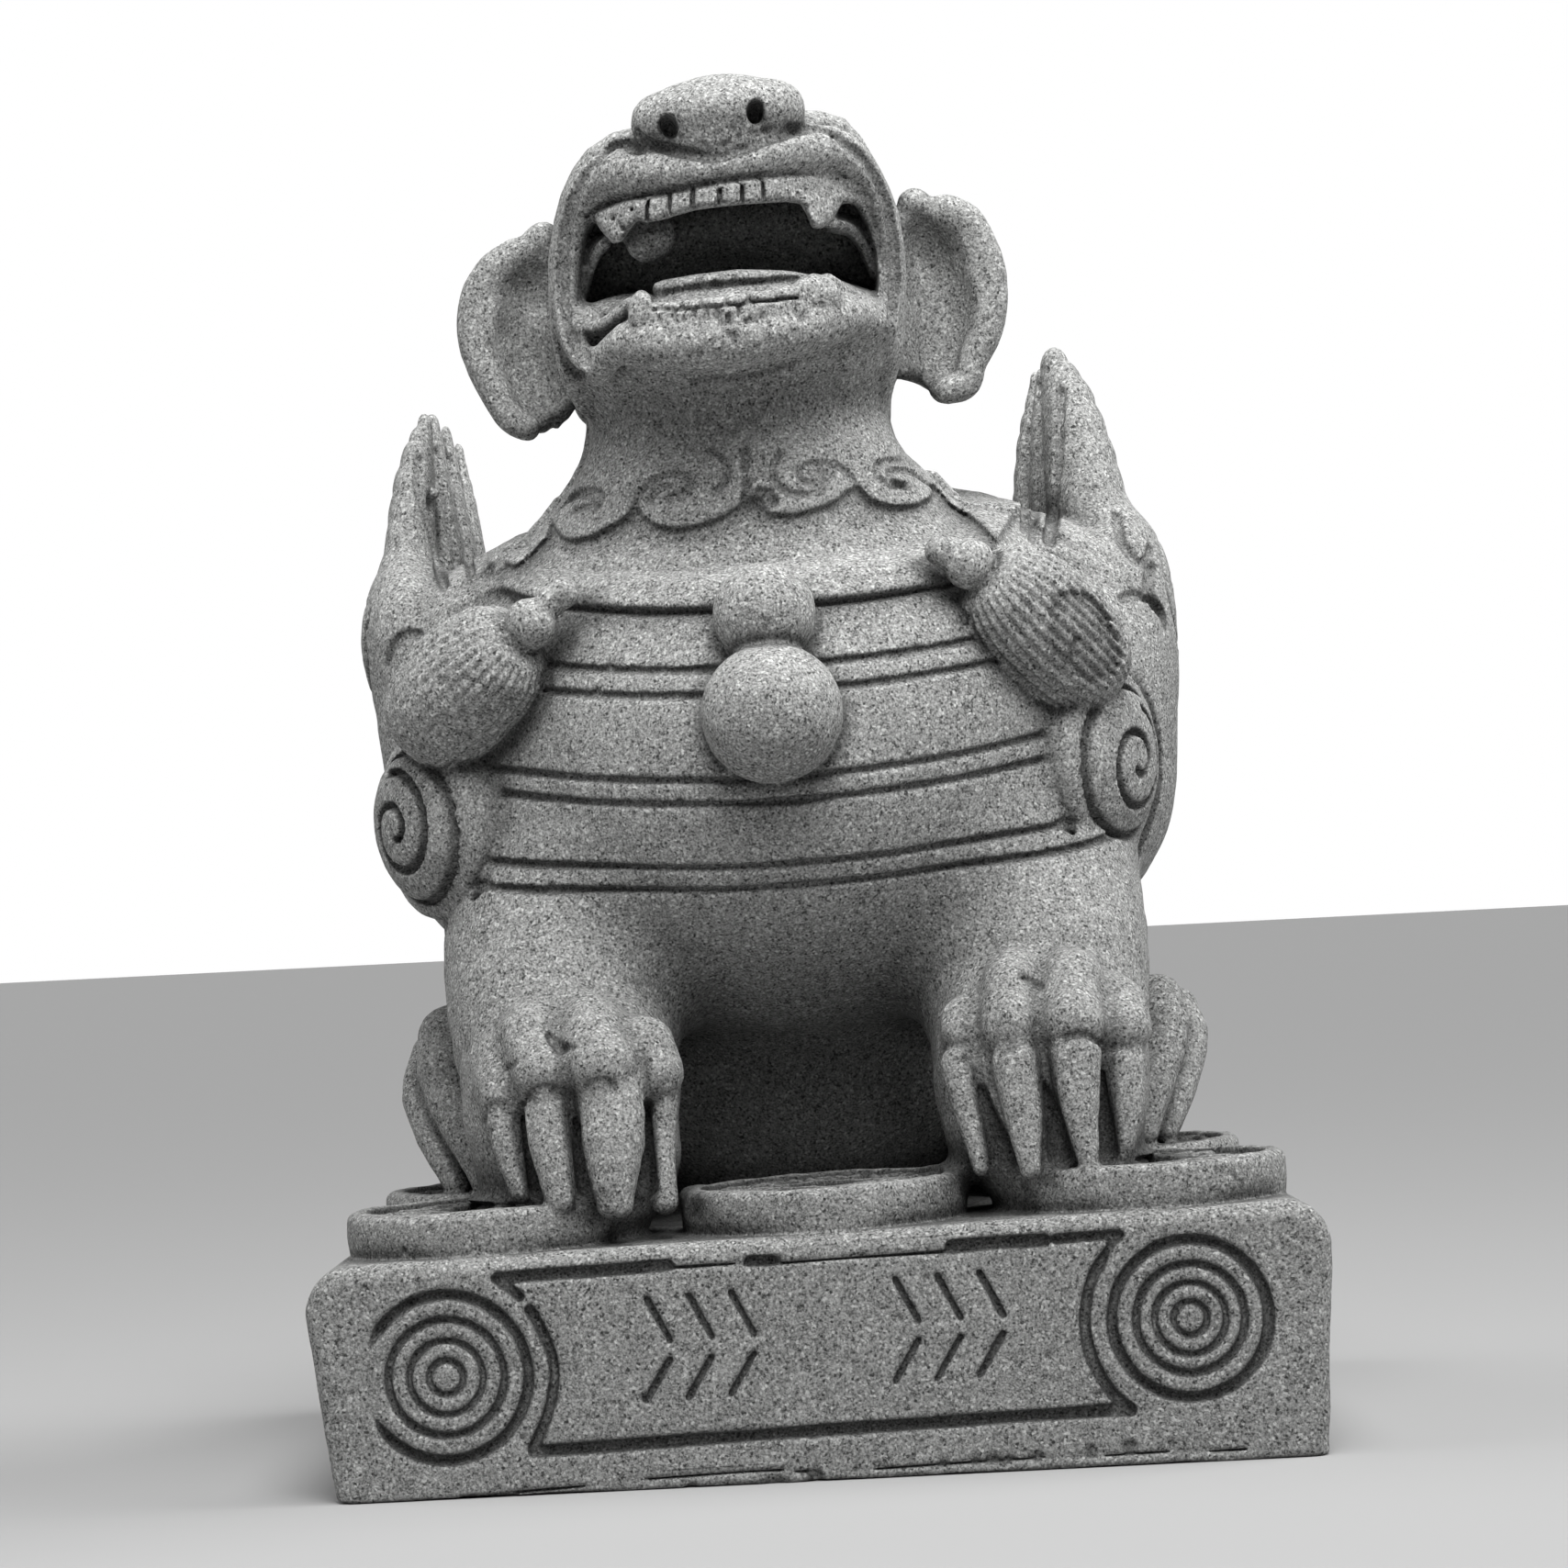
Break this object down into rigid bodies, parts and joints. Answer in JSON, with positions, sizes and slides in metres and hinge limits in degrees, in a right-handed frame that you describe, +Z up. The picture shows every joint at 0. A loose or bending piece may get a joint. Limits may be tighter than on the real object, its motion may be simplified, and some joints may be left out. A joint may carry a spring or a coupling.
{
  "type": "pixiu figure",
  "caption": "Winged pixiu with an open mouth, sitting upright on round coins with square holes, on a block plinth with a carved front; a small figure for a shelf or desk.",
  "frame": {"origin": "middle of the plinth's flat underside", "axes": "+Z up; -Y is the way the figure faces; +X is the right hand of a viewer who looks at its face"},
  "size_m": [0.0664, 0.0625, 0.0925],
  "materials": {
    "grey_stone": "matte, finely speckled, with small pits and darker recesses"
  },
  "bodies": {
    "root": {"pixiu_figure": "grey_stone"}
  },
  "joints": []
}
